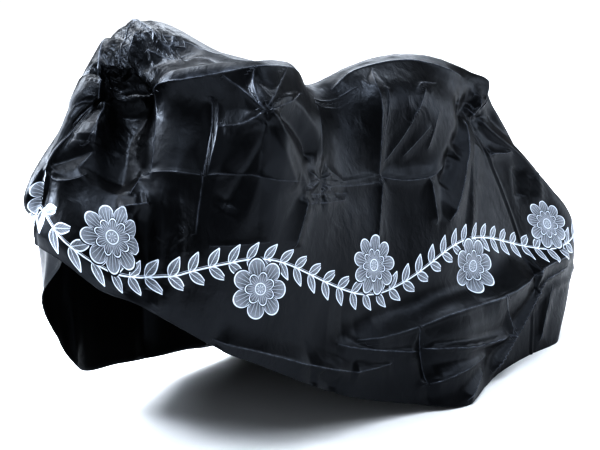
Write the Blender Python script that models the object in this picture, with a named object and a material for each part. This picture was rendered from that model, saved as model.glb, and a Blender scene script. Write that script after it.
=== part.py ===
"""Bicycle cover: one large thin film bag, open at the bottom, as it hangs over a bicycle.

The bag is one sheet folded over the top and welded down its front and rear edges.
Every size is in metres.  The drape is laid out in floor coordinates: X along the
bicycle with the front hub at 0 and the rear at +X, Y across it with the kickstand
side at -Y, Z up from the floor.  At the end the bag moves so that its origin is the
point under the top where it sits on the saddle.
"""
import bpy
import math
import numpy as np

# ------------------------------------------------------------------ named sizes
SHEET_THICKNESS = 0.002      # film with its hem and folds, as one wall
SADDLE_POINT = (0.88, -0.10, 0.976)   # where the underside of the top sits on the saddle
FLOOR_GAP = 0.0              # the hem stands on the floor, z = 0
COLUMNS = 52                 # grid columns on each side of the bag, front to rear
ROWS_PER_BAND = (4, 6, 6, 3, 4)   # grid rows between the six levels
SEAM_HEIGHT = 0.0030         # welded seam lip, proud of the film
SEAM_WIDTH = 0.022
HEM_BAND = 0.030             # turned hem, a little thicker than the film
HEM_PROUD = 0.0015

# ------------------------------------------------------- sections of the drape
# A row for each section of the near side, from the front seam to the rear seam.
# station: share of the bag's length.  Each level is (x, y, z).
#  name          station  ridge               shoulder            chest               belt                foot                hem
NEAR_SECTIONS = (
 ("front_seam",  0.000, (-.10, -.05, .970), (-.19, -.10, .920), (-.28, -.14, .870), (-.33, -.17, .760), (-.35, -.18, .710), (-.35, -.18, .670)),
 ("front_panel", 0.046, (-.07, -.05, .980), (-.13, -.13, .935), (-.20, -.19, .855), (-.30, -.26, .730), (-.32, -.27, .685), (-.32, -.27, .640)),
 ("wheel_front", 0.099, (-.01, -.06, .985), (-.06, -.15, .930), (-.12, -.23, .840), (-.24, -.31, .690), (-.25, -.32, .630), (-.25, -.32, .570)),
 ("wheel_top",   0.154, ( .02, -.12, 1.02), ( .00, -.18, .945), (-.06, -.27, .835), (-.12, -.34, .620), (-.14, -.35, .560), (-.15, -.35, .510)),
 ("wheel_rear",  0.231, ( .09, -.20, 1.050), ( .11, -.24, .970), ( .06, -.32, .810), (-.01, -.37, .570), (-.03, -.38, .490), (-.03, -.38, .420)),
 ("bar_front",   0.295, ( .16, -.27, 1.068), ( .18, -.335, .965), ( .14, -.37, .810), ( .08, -.39, .540), ( .07, -.39, .430), ( .07, -.39, .345)),
 ("bar_near",    0.353, ( .22, -.31, 1.072), ( .21, -.395, .985), ( .20, -.405, .800), ( .18, -.40, .520), ( .18, -.40, .390), ( .19, -.40, .275)),
 ("bar_rear",    0.442, ( .37, -.26, 1.046), ( .36, -.35, .955), ( .35, -.37, .760), ( .34, -.39, .480), ( .33, -.40, .320), ( .33, -.41, .190)),
 ("valley",      0.558, ( .56, -.14, .937), ( .58, -.21, .860), ( .55, -.29, .700), ( .51, -.37, .450), ( .50, -.40, .270), ( .48, -.41, .110)),
 ("saddle_nose", 0.661, ( .72, -.10, .964), ( .74, -.18, .935), ( .71, -.26, .680), ( .69, -.34, .420), ( .68, -.39, .250), ( .67, -.43, .045)),
 ("saddle_mid",  0.771, ( .88, -.10, .978), ( .91, -.18, .920), ( .91, -.25, .660), ( .88, -.33, .400), ( .88, -.39, .260), ( .87, -.475, .000)),
 ("saddle_tail", 0.885, (1.07, -.09, .942), (1.07, -.16, .840), (1.07, -.21, .655), (1.07, -.29, .370), (1.08, -.34, .240), (1.08, -.37, .000)),
 ("rear_seam",   1.000, (1.22, -.12, .795), (1.16, -.13, .765), (1.21, -.16, .650), (1.32, -.21, .360), (1.33, -.26, .240), (1.30, -.31, .000)),
)
# The far side, from just behind the rear seam round to the front seam.  Its ridge is the near side's.
#  name          station  shoulder            chest               belt                foot                hem
FAR_SECTIONS = (
 ("rear_nose",   0.940, (1.29, -.09, .780), (1.46, -.12, .550), (1.62, -.15, .340), (1.56, -.21, .150), (1.45, -.28, .000)),
 ("rear_back",   0.890, (1.24, -.01, .780), (1.40,  .02, .580), (1.51,  .05, .340), (1.50,  .02, .170), (1.46, -.06, .010)),
 ("tail_far",    0.810, (1.15,  .02, .820), (1.20,  .10, .600), (1.24,  .18, .360), (1.27,  .22, .180), (1.29,  .25, .010)),
 ("saddle_far",  0.730, ( .99,  .00, .950), (1.00,  .10, .640), (1.03,  .18, .380), (1.06,  .23, .190), (1.08,  .28, .010)),
 ("nose_far",    0.630, ( .81, -.01, .935), ( .79,  .10, .660), ( .79,  .18, .400), ( .80,  .24, .200), ( .81,  .29, .010)),
 ("valley_far",  0.535, ( .61,  .02, .890), ( .57,  .14, .660), ( .56,  .21, .420), ( .57,  .25, .220), ( .58,  .28, .020)),
 ("bar_back",    0.420, (.385, -.05, 1.018), ( .37,  .22, .760), ( .36,  .26, .480), ( .37,  .27, .260), ( .38,  .27, .050)),
 ("bar_inner",   0.330, ( .32,  .05, 1.034), ( .24,  .27, .840), ( .23,  .29, .520), ( .22,  .27, .280), ( .21,  .24, .070)),
 ("bar_far",     0.260, ( .19, .20, 1.106), ( .15,  .28, .860), ( .12,  .28, .540), ( .09,  .25, .300), ( .07,  .20, .100)),
 ("wheel_far",   0.180, ( .09,  .15, 1.108), ( .02,  .20, .860), (-.03,  .20, .580), (-.06,  .18, .340), (-.08,  .14, .140)),
 ("front_far",   0.110, (-.02,  .05, 1.06), (-.10,  .10, .860), (-.16,  .11, .620), (-.19,  .10, .420), (-.18,  .08, .290)),
 ("front_nose",  0.055, (-.09, -.02, 1.01), (-.22, -.07, .915), (-.33, -.09, .765), (-.27, -.07, .640), (-.26, -.01, .460)),
 ("front_tuck",  0.025, (-.15, -.07, .965), (-.26, -.11, .890), (-.35, -.13, .755), (-.29, -.12, .680), (-.24, -.13, .600)),
)
# The ridge has more points where it rolls over the rear top corner, which is tucked in under it.
#  name          station  ridge
CORNER_ROLL = (
 ("corner_top",  0.930, (1.195, -.075, .899)),
 ("corner_back", 0.970, (1.285, -.080, .850)),
)
# Where along the bag the ridge is a sharp fold rather than a rounded top: stations, and how sharp.
CREST = ((0.08, 0.16, 0.44, 0.56), (0.0, 1.0, 1.0, 0.0))
LEVELS = ("ridge", "shoulder", "chest", "belt", "foot", "hem")

# ------------------------------------------------------------ folds and creases
# A row for each fold: where it runs (section number and level number at each end,
# sections counted round the bag from the front seam, levels from the ridge down),
# its half width, how proud it stands (a trough is negative) and its strength at each end.
#  name                  sec0  lev0  sec1  lev1  width   height  from  to
FOLDS = (
 ("star_to_crest",        6.0, 1.0,  5.0, 0.05, 0.035,  0.010, 1.0, 0.5),
 ("star_to_valley",       6.0, 1.0,  7.3, 0.50, 0.035,  0.012, 1.0, 0.4),
 ("star_down_front",      6.0, 1.0,  4.6, 2.30, 0.060,  0.016, 1.0, 0.3),
 ("star_down_middle",     6.0, 1.1,  5.9, 2.60, 0.050, -0.014, 0.8, 0.4),
 ("star_down_rear",       6.0, 1.0,  7.1, 2.10, 0.060,  0.016, 1.0, 0.4),
 ("wheel_fold_a",         2.3, 1.7,  2.0, 4.90, 0.035,  0.012, 0.4, 1.0),
 ("wheel_fold_b",         2.9, 1.9,  2.7, 4.90, 0.040, -0.014, 0.4, 1.0),
 ("wheel_fold_c",         3.2, 2.0,  3.3, 4.90, 0.035,  0.014, 0.5, 1.0),
 ("chest_fold_front",     4.2, 0.4,  4.1, 2.10, 0.030,  0.008, 0.6, 1.0),
 ("chest_fold_long",      2.6, 1.95, 7.0, 2.00, 0.028,  0.007, 0.8, 0.8),
 ("chest_fold_rear",      7.0, 2.00, 11.0, 1.95, 0.028,  0.007, 0.8, 0.8),
 ("saddle_nose_fold",     8.9, 0.3,  8.9, 2.70, 0.030,  0.009, 1.0, 0.5),
 ("saddle_tail_fold",    11.3, 0.8, 10.7, 2.00, 0.045, -0.014, 1.0, 0.4),
 ("tail_panel_front",    11.7, 1.0, 10.9, 2.75, 0.040,  0.012, 0.6, 0.9),
 ("rear_fan_a",          12.3, 1.0, 12.8, 2.40, 0.030,  0.010, 1.0, 0.6),
 ("rear_fan_b",          12.6, 1.0, 13.4, 2.30, 0.040, -0.012, 1.0, 0.8),
 ("foot_edge_rear",      13.0, 3.7, 10.0, 4.00, 0.035,  0.014, 1.0, 1.0),
 ("foot_edge_front",     10.0, 4.0,  8.2, 4.00, 0.035,  0.012, 1.0, 0.4),
 ("tail_fold_low",       12.9, 3.8, 11.0, 4.95, 0.028,  0.011, 0.8, 1.0),
 ("hem_flute_a",          5.0, 3.9,  4.8, 5.00, 0.040, -0.012, 0.0, 1.0),
 ("hem_flute_b",          7.0, 3.9,  7.2, 5.00, 0.045, -0.016, 0.0, 1.0),
 ("hem_flute_c",          9.4, 4.1,  9.4, 5.00, 0.045, -0.014, 0.0, 1.0),
 ("far_star_front",      21.0, 1.0, 22.3, 2.60, 0.060,  0.020, 1.0, 0.3),
 ("far_star_middle",     21.0, 1.1, 21.0, 3.20, 0.055, -0.018, 0.8, 0.4),
 ("far_star_rear",       21.0, 1.0, 19.4, 2.80, 0.060,  0.020, 1.0, 0.3),
 ("far_crumple",         22.0, 0.3, 22.6, 1.50, 0.040, -0.018, 0.8, 0.6),
 ("far_flute_a",         15.3, 2.2, 15.2, 5.00, 0.070,  0.026, 0.2, 1.0),
 ("far_flute_b",         16.4, 1.4, 16.5, 5.00, 0.080, -0.030, 0.2, 1.0),
 ("far_flute_c",         17.4, 2.0, 17.6, 5.00, 0.070,  0.024, 0.2, 1.0),
 ("far_flute_d",         18.6, 1.4, 18.8, 5.00, 0.080, -0.028, 0.3, 1.0),
 ("far_flute_e",         20.0, 2.4, 20.1, 5.00, 0.060,  0.020, 0.2, 1.0),
 ("far_flute_f",         22.4, 2.0, 22.2, 5.00, 0.060, -0.020, 0.2, 1.0),
 ("rear_flute",          14.2, 2.4, 14.4, 5.00, 0.060, -0.022, 0.3, 1.0),
)


# ------------------------------------------------------------------- loft maths
def hermite_rows(points, where, closed):
    """Smooth curves through points[n, ...] read at fractional indices `where`."""
    n = len(points)
    if closed:
        step = np.linalg.norm(np.roll(points, -1, 0) - points, axis=-1, keepdims=True)
        before, after = np.roll(step, 1, 0), step
        slope_in = (points - np.roll(points, 1, 0)) / np.maximum(before, 1e-6)
        slope_out = (np.roll(points, -1, 0) - points) / np.maximum(after, 1e-6)
        tangent = (slope_in * after + slope_out * before) / np.maximum(before + after, 1e-6)
        i0 = np.floor(where).astype(int) % n
        i1 = (i0 + 1) % n
    else:
        step = np.linalg.norm(points[1:] - points[:-1], axis=-1, keepdims=True)
        slope = (points[1:] - points[:-1]) / np.maximum(step, 1e-6)
        tangent = np.empty_like(points)
        tangent[0], tangent[-1] = slope[0], slope[-1]
        tangent[1:-1] = (slope[:-1] * step[1:] + slope[1:] * step[:-1]) / np.maximum(step[1:] + step[:-1], 1e-6)
        i0 = np.minimum(np.floor(where).astype(int), n - 2)
        i1 = i0 + 1
        step = np.concatenate([step, step[-1:]], 0)
    f = (where - np.floor(where) if closed else where - i0)
    f = f.reshape((-1,) + (1,) * (points.ndim - 1))
    h = step[i0]
    return ((2 * f**3 - 3 * f**2 + 1) * points[i0] + (f**3 - 2 * f**2 + f) * h * tangent[i0]
            + (3 * f**2 - 2 * f**3) * points[i1] + (f**3 - f**2) * h * tangent[i1])


def level_steps():
    """Fractional level numbers of the grid rows, ridge to hem."""
    out = [0.0]
    for band, count in enumerate(ROWS_PER_BAND):
        out += [band + (k + 1) / count for k in range(count)]
    return np.array(out)


def near_index(station):
    return np.interp(station, [r[1] for r in NEAR_SECTIONS], np.arange(len(NEAR_SECTIONS)))


def far_index(station):
    first = len(NEAR_SECTIONS) - 1
    stations = [NEAR_SECTIONS[0][1]] + [r[1] for r in FAR_SECTIONS][::-1] + [NEAR_SECTIONS[-1][1]]
    places = [first + len(FAR_SECTIONS) + 1 - k for k in range(len(stations))]
    return np.interp(station, stations, places)


def ridge_line(stations):
    """The fold along the top, with its roll over the rear corner."""
    rows = sorted([(r[1], r[2]) for r in NEAR_SECTIONS] + [(r[1], r[2]) for r in CORNER_ROLL])
    where = np.interp(stations, [r[0] for r in rows], np.arange(len(rows)))
    return hermite_rows(np.array([r[1] for r in rows], float), where, False)


def loft(stations, levels):
    """The draped sheet: grids near[station, level] and far[station, level]."""
    rings = np.array([r[3:] for r in NEAR_SECTIONS] + [r[2:] for r in FAR_SECTIONS], float)
    sn, sf = near_index(stations), far_index(stations)
    top = ridge_line(stations)
    near = hermite_rows(rings, sn, True)
    far = hermite_rows(rings, sf, True)
    across = np.concatenate([far[:, ::-1], top[:, None], near], 1)      # far hem ... ridge ... near hem
    across = np.swapaxes(across, 0, 1)
    n = near.shape[1]
    sharp = np.interp(stations, *CREST)[None, :, None]                   # the top is folded along the handlebar
    near_grid = hermite_rows(across, n + levels, False) * (1 - sharp) + hermite_rows(across[n:], levels, False) * sharp
    far_grid = hermite_rows(across, n - levels, False) * (1 - sharp) + hermite_rows(across[:n + 1], n - levels, False) * sharp
    return np.swapaxes(near_grid, 0, 1), np.swapaxes(far_grid, 0, 1)


def place(section, level):
    """Station and side for a section number counted round the bag."""
    count = len(NEAR_SECTIONS) + len(FAR_SECTIONS)
    section = section % count
    grid = np.linspace(0.0, 1.0, 401)
    if section <= len(NEAR_SECTIONS) - 1:
        return 0, float(np.interp(section, near_index(grid), grid)), level
    back = far_index(grid)
    return 1, float(np.interp(-section, -back, grid)), level


def fold_line(fold):
    name, s0, l0, s1, l1 = fold[:5]
    pts, count = [], 25
    for k in range(count):
        f = k / (count - 1)
        side, station, level = place(s0 + (s1 - s0) * f, l0 + (l1 - l0) * f)
        near, far = loft(np.array([station]), np.array([level]))
        pts.append((near, far)[side][0, 0])
    return np.array(pts)


def distance_to_line(points, line):
    """Distance to a run of straight pieces, and how far along it the nearest place is, 0 to 1."""
    best, along = np.full(len(points), 1e9), np.zeros(len(points))
    for k in range(len(line) - 1):
        a, ab = line[k], line[k + 1] - line[k]
        t = np.clip(((points - a) @ ab) / max(ab @ ab, 1e-12), 0, 1)
        d = np.linalg.norm(points - (a + t[:, None] * ab), axis=1)
        better = d < best
        best[better] = d[better]
        along[better] = (k + t[better]) / (len(line) - 1)
    return best, along


def fold_push(points, folds):
    """How far each point of the sheet is pushed outwards by the folds."""
    proud, sunk = np.zeros(len(points)), np.zeros(len(points))
    for fold in folds:
        line = fold_line(fold)
        width, height, a, b = fold[5:9]
        near = np.where(((points > line.min(0) - width) & (points < line.max(0) + width)).all(1))[0]
        if not len(near):
            continue
        dist, along = distance_to_line(points[near], line)
        shape = np.clip(1 - dist / width, 0, 1)
        shape = shape * shape * (3 - 2 * shape) * 0.6 + shape * 0.4
        amount = height * (a + (b - a) * along) * shape
        proud[near] = np.maximum(proud[near], amount)
        sunk[near] = np.minimum(sunk[near], amount)
    return proud + sunk


# --------------------------------------------------------------- build the mesh
def sheet_grids():
    stations = np.linspace(0.0, 1.0, COLUMNS + 1)
    return loft(stations, level_steps())


def cover_mesh():
    near, far = sheet_grids()
    cols, rows = near.shape[0], near.shape[1]
    points, number = [], {}

    def add(side, c, r):
        if side and (c in (0, cols - 1) or r == 0):
            side = 0
        key = (side, c, r)
        if key not in number:
            number[key] = len(points)
            points.append((near, far)[side][c, r])
        return number[key]

    faces = []
    for side in (0, 1):
        for c in range(cols - 1):
            for r in range(rows - 1):
                a, b = add(side, c, r), add(side, c + 1, r)
                d, e = add(side, c, r + 1), add(side, c + 1, r + 1)
                quad = (a, d, e, b) if side == 0 else (b, e, d, a)
                faces.append(quad)
    points = np.array(points)
    faces = np.array(faces)

    def normals(pts):
        p = pts[faces]
        n = np.cross(p[:, 2] - p[:, 0], p[:, 3] - p[:, 1])
        out = np.zeros_like(pts)
        for k in range(4):
            np.add.at(out, faces[:, k], n)
        return out / np.maximum(np.linalg.norm(out, axis=1, keepdims=True), 1e-9)

    push = fold_push(points, FOLDS)
    level = np.array([key[2] for key in number])
    column = np.array([key[1] for key in number])
    seam = ((column == 0) | (column == cols - 1)) & (level > 0)
    push[seam] += SEAM_HEIGHT
    push[level == rows - 1] += HEM_PROUD
    outer = points + normals(points) * push[:, None]
    outer[:, 2] = np.maximum(outer[:, 2], FLOOR_GAP)
    wall = np.full(len(points), SHEET_THICKNESS)
    inner = outer - normals(outer) * wall[:, None]
    inner[:, 2] = np.where(level == rows - 1, outer[:, 2], inner[:, 2])
    inner[:, 2] = np.maximum(inner[:, 2], FLOOR_GAP)
    # rim along the open hem
    hem = [add(0, c, rows - 1) for c in range(cols)] + [add(1, c, rows - 1) for c in range(cols - 2, 0, -1)]
    count = len(points)
    tris = []
    for a, d, e, b in faces:
        tris += [(a, d, e), (a, e, b)]
        tris += [(a + count, e + count, d + count), (a + count, b + count, e + count)]
    for k in range(len(hem)):
        a, b = hem[k], hem[(k + 1) % len(hem)]
        tris += [(a, a + count, b + count), (a, b + count, b)]
    return np.concatenate([outer, inner]) - np.array(SADDLE_POINT), tris


def film_material():
    material = bpy.data.materials.new("black_film")
    material.use_nodes = True
    shader = material.node_tree.nodes["Principled BSDF"]
    shader.inputs["Base Color"].default_value = (0.012, 0.013, 0.016, 1.0)
    shader.inputs["Roughness"].default_value = 0.38
    shader.inputs["Metallic"].default_value = 0.0
    return material


def build():
    for old in list(bpy.data.objects):
        bpy.data.objects.remove(old, do_unlink=True)
    verts, tris = cover_mesh()
    mesh = bpy.data.meshes.new("cover_sheet")
    mesh.from_pydata([tuple(v) for v in verts], [], [tuple(int(i) for i in t) for t in tris])
    mesh.update()
    mesh.shade_smooth()
    cover = bpy.data.objects.new("cover_sheet", mesh)
    bpy.context.scene.collection.objects.link(cover)
    cover.data.materials.append(film_material())
    return cover


build()
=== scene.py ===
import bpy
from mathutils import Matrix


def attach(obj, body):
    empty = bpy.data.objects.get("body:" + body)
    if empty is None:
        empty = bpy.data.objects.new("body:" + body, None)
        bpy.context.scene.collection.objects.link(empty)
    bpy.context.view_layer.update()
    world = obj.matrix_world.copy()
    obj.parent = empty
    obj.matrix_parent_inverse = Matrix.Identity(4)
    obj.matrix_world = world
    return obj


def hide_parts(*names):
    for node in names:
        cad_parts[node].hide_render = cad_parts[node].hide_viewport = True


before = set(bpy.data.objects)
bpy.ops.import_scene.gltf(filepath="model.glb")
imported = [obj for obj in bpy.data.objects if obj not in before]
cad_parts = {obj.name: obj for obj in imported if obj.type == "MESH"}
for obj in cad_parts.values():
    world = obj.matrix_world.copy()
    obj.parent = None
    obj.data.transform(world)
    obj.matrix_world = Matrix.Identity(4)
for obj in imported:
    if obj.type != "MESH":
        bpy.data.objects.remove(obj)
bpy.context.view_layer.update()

import math
import bpy
import numpy as np
from mathutils import Matrix, Vector
from mathutils.bvhtree import BVHTree

SADDLE_POINT = np.array((0.88, -0.10, 0.976))   # floor coordinates of the row's origin

# ============================================================ camera, floor, light
AZIMUTH, ELEVATION = math.radians(-35.865), math.radians(18.243)
CAMERA_AT = Vector((-1.876, -3.431, 1.885)) - Vector(SADDLE_POINT)
LENS = 88.68


def make_camera():
    back = Vector((math.sin(AZIMUTH) * math.cos(ELEVATION), -math.cos(AZIMUTH) * math.cos(ELEVATION), math.sin(ELEVATION)))
    right = Vector((math.cos(AZIMUTH), math.sin(AZIMUTH), 0.0))
    up = back.cross(right)
    data = bpy.data.cameras.new("camera")
    data.lens, data.sensor_width, data.sensor_fit = LENS, 36.0, "HORIZONTAL"
    data.clip_end = 60.0
    camera = bpy.data.objects.new("camera", data)
    turn = Matrix((right, up, back)).transposed().to_4x4()
    camera.matrix_world = Matrix.Translation(CAMERA_AT) @ turn
    bpy.context.scene.collection.objects.link(camera)
    bpy.context.scene.camera = camera
    return camera


def add_area(name, at, look, size, size_y, power, colour):
    data = bpy.data.lights.new(name, "AREA")
    data.shape, data.size, data.size_y = "RECTANGLE", size, size_y
    data.energy, data.color = power, colour
    lamp = bpy.data.objects.new(name, data)
    at, look = Vector(at), Vector(look)
    lamp.matrix_world = Matrix.Translation(at) @ (look - at).to_track_quat("-Z", "Y").to_matrix().to_4x4()
    bpy.context.scene.collection.objects.link(lamp)
    return lamp


def make_stage():
    floor_z = -float(SADDLE_POINT[2])
    mesh = bpy.data.meshes.new("studio_floor")
    s = 14.0
    mesh.from_pydata([(-s, -s, floor_z), (s, -s, floor_z), (s, s, floor_z), (-s, s, floor_z)], [], [(0, 1, 2, 3)])
    floor = bpy.data.objects.new("studio_floor", mesh)
    bpy.context.scene.collection.objects.link(floor)
    material = bpy.data.materials.new("studio_floor")
    material.use_nodes = True
    shader = material.node_tree.nodes["Principled BSDF"]
    shader.inputs["Base Color"].default_value = (0.90, 0.90, 0.90, 1)
    shader.inputs["Roughness"].default_value = 0.9
    shader.inputs["Specular IOR Level"].default_value = 0.1
    mesh.materials.append(material)
    world = bpy.data.worlds.new("studio_world")
    bpy.context.scene.world = world
    world.use_nodes = True
    tree = world.node_tree
    background = tree.nodes["Background"]
    background.inputs["Color"].default_value = (0.96, 0.98, 1.0, 1)
    background.inputs["Strength"].default_value = 0.17
    bpy.context.scene.view_settings.view_transform = "Standard"
    bpy.context.scene.view_settings.look = "Very High Contrast"
    # one broad source high behind, like a bright sky, then soft boxes low on each side
    sky = bpy.data.lights.new("high_soft", "SUN")
    sky.energy, sky.angle, sky.color = 1.8, math.radians(50), (0.97, 0.985, 1.0)
    lamp = bpy.data.objects.new("high_soft", sky)
    lamp.matrix_world = Vector((-0.10, 0.62, 0.80)).to_track_quat("Z", "Y").to_matrix().to_4x4()
    bpy.context.scene.collection.objects.link(lamp)
    # name, place, width, height, watts; every one looks at the middle of the cover
    for name, at, wide, high, watts in (
        ("right_low", (4.3, -0.9, 0.1), 1.5, 1.5, 18),
        ("right_mid", (3.5, -2.4, 0.9), 1.2, 1.2, 22),
        ("right_high", (2.9, 0.9, 3.1), 1.5, 1.5, 36),
        ("right_rear", (3.4, 1.9, 2.1), 1.5, 1.5, 20),
        ("right_front", (2.1, -2.9, 2.5), 1.6, 1.6, 30),
        ("top_front", (0.1, -1.5, 4.1), 0.9, 0.9, 34),
        ("overhead", (-2.5, -0.5, 3.7), 1.4, 1.4, 12),
        ("top_left", (-2.0, 2.4, 3.1), 1.4, 1.4, 65),
        ("left_back", (-3.6, 2.2, 1.6), 1.2, 1.2, 190),
        ("slope_top", (-0.45, -0.40, 3.4), 0.8, 0.8, 42),
        ("front_low", (-2.2, -3.8, 0.4), 1.5, 1.5, 5),
        ("left_high", (-1.3, -2.4, 3.5), 1.5, 1.5, 8),
        ("left_low", (-3.6, -1.9, 2.0), 1.5, 1.5, 5),
        ("left_side", (-4.2, 0.8, 0.6), 2.0, 1.2, 14),
        ("rear_high", (0.6, 2.9, 3.2), 2.4, 1.5, 22),
        ("rear_right", (2.5, 3.4, 1.5), 2.0, 1.6, 34),
        ("rear_left", (-0.8, 3.4, 2.2), 1.4, 1.4, 14),
        ("rear_low", (-2.2, 3.8, 0.8), 1.6, 1.2, 60),
    ):
        add_area(name, at, (0.0, 0.0, 0.0), wide, high, watts, (0.86, 0.92, 1.0))


# ======================================================= the drape, section by section
# The same sections as the solid: a row for each, near side from the front seam to the rear seam.
NEAR_SECTIONS = (
 ("front_seam",  0.000, (-.10, -.05, .970), (-.19, -.10, .920), (-.28, -.14, .870), (-.33, -.17, .760), (-.35, -.18, .710), (-.35, -.18, .670)),
 ("front_panel", 0.046, (-.07, -.05, .980), (-.13, -.13, .935), (-.20, -.19, .855), (-.30, -.26, .730), (-.32, -.27, .685), (-.32, -.27, .640)),
 ("wheel_front", 0.099, (-.01, -.06, .985), (-.06, -.15, .930), (-.12, -.23, .840), (-.24, -.31, .690), (-.25, -.32, .630), (-.25, -.32, .570)),
 ("wheel_top",   0.154, ( .02, -.12, 1.02), ( .00, -.18, .945), (-.06, -.27, .835), (-.12, -.34, .620), (-.14, -.35, .560), (-.15, -.35, .510)),
 ("wheel_rear",  0.231, ( .09, -.20, 1.050), ( .11, -.24, .970), ( .06, -.32, .810), (-.01, -.37, .570), (-.03, -.38, .490), (-.03, -.38, .420)),
 ("bar_front",   0.295, ( .16, -.27, 1.068), ( .18, -.335, .965), ( .14, -.37, .810), ( .08, -.39, .540), ( .07, -.39, .430), ( .07, -.39, .345)),
 ("bar_near",    0.353, ( .22, -.31, 1.072), ( .21, -.395, .985), ( .20, -.405, .800), ( .18, -.40, .520), ( .18, -.40, .390), ( .19, -.40, .275)),
 ("bar_rear",    0.442, ( .37, -.26, 1.046), ( .36, -.35, .955), ( .35, -.37, .760), ( .34, -.39, .480), ( .33, -.40, .320), ( .33, -.41, .190)),
 ("valley",      0.558, ( .56, -.14, .937), ( .58, -.21, .860), ( .55, -.29, .700), ( .51, -.37, .450), ( .50, -.40, .270), ( .48, -.41, .110)),
 ("saddle_nose", 0.661, ( .72, -.10, .964), ( .74, -.18, .935), ( .71, -.26, .680), ( .69, -.34, .420), ( .68, -.39, .250), ( .67, -.43, .045)),
 ("saddle_mid",  0.771, ( .88, -.10, .978), ( .91, -.18, .920), ( .91, -.25, .660), ( .88, -.33, .400), ( .88, -.39, .260), ( .87, -.475, .000)),
 ("saddle_tail", 0.885, (1.07, -.09, .942), (1.07, -.16, .840), (1.07, -.21, .655), (1.07, -.29, .370), (1.08, -.34, .240), (1.08, -.37, .000)),
 ("rear_seam",   1.000, (1.22, -.12, .795), (1.16, -.13, .765), (1.21, -.16, .650), (1.32, -.21, .360), (1.33, -.26, .240), (1.30, -.31, .000)),
)
FAR_SECTIONS = (
 ("rear_nose",   0.940, (1.29, -.09, .780), (1.46, -.12, .550), (1.62, -.15, .340), (1.56, -.21, .150), (1.45, -.28, .000)),
 ("rear_back",   0.890, (1.24, -.01, .780), (1.40,  .02, .580), (1.51,  .05, .340), (1.50,  .02, .170), (1.46, -.06, .010)),
 ("tail_far",    0.810, (1.15,  .02, .820), (1.20,  .10, .600), (1.24,  .18, .360), (1.27,  .22, .180), (1.29,  .25, .010)),
 ("saddle_far",  0.730, ( .99,  .00, .950), (1.00,  .10, .640), (1.03,  .18, .380), (1.06,  .23, .190), (1.08,  .28, .010)),
 ("nose_far",    0.630, ( .81, -.01, .935), ( .79,  .10, .660), ( .79,  .18, .400), ( .80,  .24, .200), ( .81,  .29, .010)),
 ("valley_far",  0.535, ( .61,  .02, .890), ( .57,  .14, .660), ( .56,  .21, .420), ( .57,  .25, .220), ( .58,  .28, .020)),
 ("bar_back",    0.420, (.385, -.05, 1.018), ( .37,  .22, .760), ( .36,  .26, .480), ( .37,  .27, .260), ( .38,  .27, .050)),
 ("bar_inner",   0.330, ( .32,  .05, 1.034), ( .24,  .27, .840), ( .23,  .29, .520), ( .22,  .27, .280), ( .21,  .24, .070)),
 ("bar_far",     0.260, ( .19, .20, 1.106), ( .15,  .28, .860), ( .12,  .28, .540), ( .09,  .25, .300), ( .07,  .20, .100)),
 ("wheel_far",   0.180, ( .09,  .15, 1.108), ( .02,  .20, .860), (-.03,  .20, .580), (-.06,  .18, .340), (-.08,  .14, .140)),
 ("front_far",   0.110, (-.02,  .05, 1.06), (-.10,  .10, .860), (-.16,  .11, .620), (-.19,  .10, .420), (-.18,  .08, .290)),
 ("front_nose",  0.055, (-.09, -.02, 1.01), (-.22, -.07, .915), (-.33, -.09, .765), (-.27, -.07, .640), (-.26, -.01, .460)),
 ("front_tuck",  0.025, (-.15, -.07, .965), (-.26, -.11, .890), (-.35, -.13, .755), (-.29, -.12, .680), (-.24, -.13, .600)),
)
CREST = ((0.08, 0.16, 0.44, 0.56), (0.0, 1.0, 1.0, 0.0))
CORNER_ROLL = (
 ("corner_top",  0.930, (1.195, -.075, .899)),
 ("corner_back", 0.970, (1.285, -.080, .850)),
)
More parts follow.
